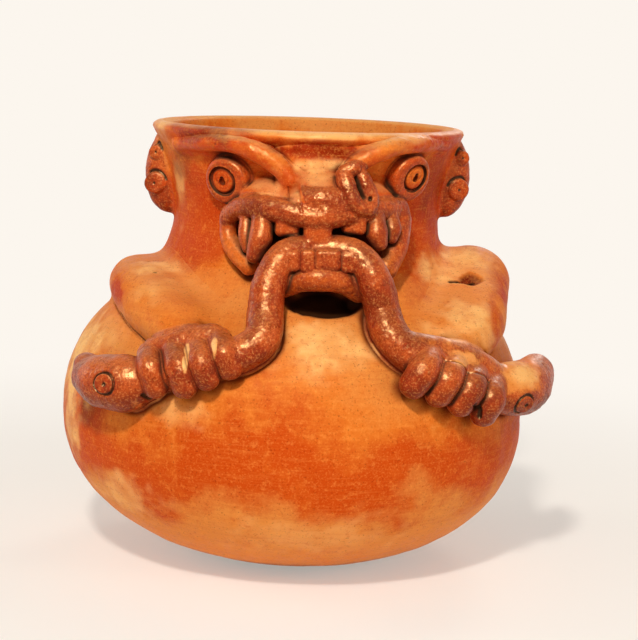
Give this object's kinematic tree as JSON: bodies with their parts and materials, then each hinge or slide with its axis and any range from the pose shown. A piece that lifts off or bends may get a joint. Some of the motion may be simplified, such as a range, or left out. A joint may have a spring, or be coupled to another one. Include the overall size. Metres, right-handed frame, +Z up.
{
  "type": "effigy bowl",
  "caption": "Round-bodied clay bowl with a flaring neck, a fanged face in relief and two arms gripping a two-headed serpent that comes out of its mouth.",
  "frame": {"origin": "centre of the flat foot that the bowl rests on, on the axis of the neck", "axes": "+Z up along the neck's axis, -Y the way the face looks, +X to the right of someone who looks at the face"},
  "size_m": [0.1928, 0.186, 0.174],
  "materials": {
    "buff_clay": "burnished orange-buff fired clay, satin",
    "red_slip": "dark red-brown slip over the same clay, slightly glossier"
  },
  "bodies": {
    "root": {"arm_left": "buff_clay", "arm_right": "buff_clay", "bowl_body": "buff_clay", "brow_left": "buff_clay", "brow_right": "buff_clay", "ear_disc_lower_left": "buff_clay", "ear_disc_lower_right": "buff_clay", "ear_disc_upper_left": "buff_clay", "ear_disc_upper_right": "buff_clay", "ear_left": "buff_clay", "ear_right": "buff_clay", "eye_ball_left": "buff_clay", "eye_ball_right": "buff_clay", "eye_ring_left": "buff_clay", "eye_ring_right": "buff_clay", "fang_left_inner": "red_slip", "fang_left_outer": "red_slip", "fang_right_inner": "red_slip", "fang_right_outer": "red_slip", "finger_left_1": "red_slip", "finger_left_2": "red_slip", "finger_left_3": "red_slip", "finger_left_4": "red_slip", "finger_right_1": "red_slip", "finger_right_2": "red_slip", "finger_right_3": "red_slip", "finger_right_4": "red_slip", "forehead_band": "buff_clay", "hand_left": "red_slip", "hand_right": "red_slip", "lip_corner_left": "red_slip", "lip_corner_right": "red_slip", "lower_jaw": "buff_clay", "lower_lip": "red_slip", "lower_tooth_1": "red_slip", "lower_tooth_2": "red_slip", "lower_tooth_3": "red_slip", "lower_tooth_4": "red_slip", "neck_collar": "buff_clay", "nose": "red_slip", "nostril_fold_inner": "red_slip", "nostril_fold_outer": "red_slip", "rim_roll": "buff_clay", "serpent_body_left": "red_slip", "serpent_body_right": "red_slip", "serpent_eye_left": "red_slip", "serpent_eye_right": "red_slip", "serpent_head_left": "red_slip", "serpent_head_right": "red_slip", "upper_jaw": "buff_clay", "upper_lip_left": "red_slip", "upper_lip_right": "red_slip", "upper_tooth_left": "red_slip", "upper_tooth_middle": "red_slip", "upper_tooth_right": "red_slip"}
  },
  "joints": []
}
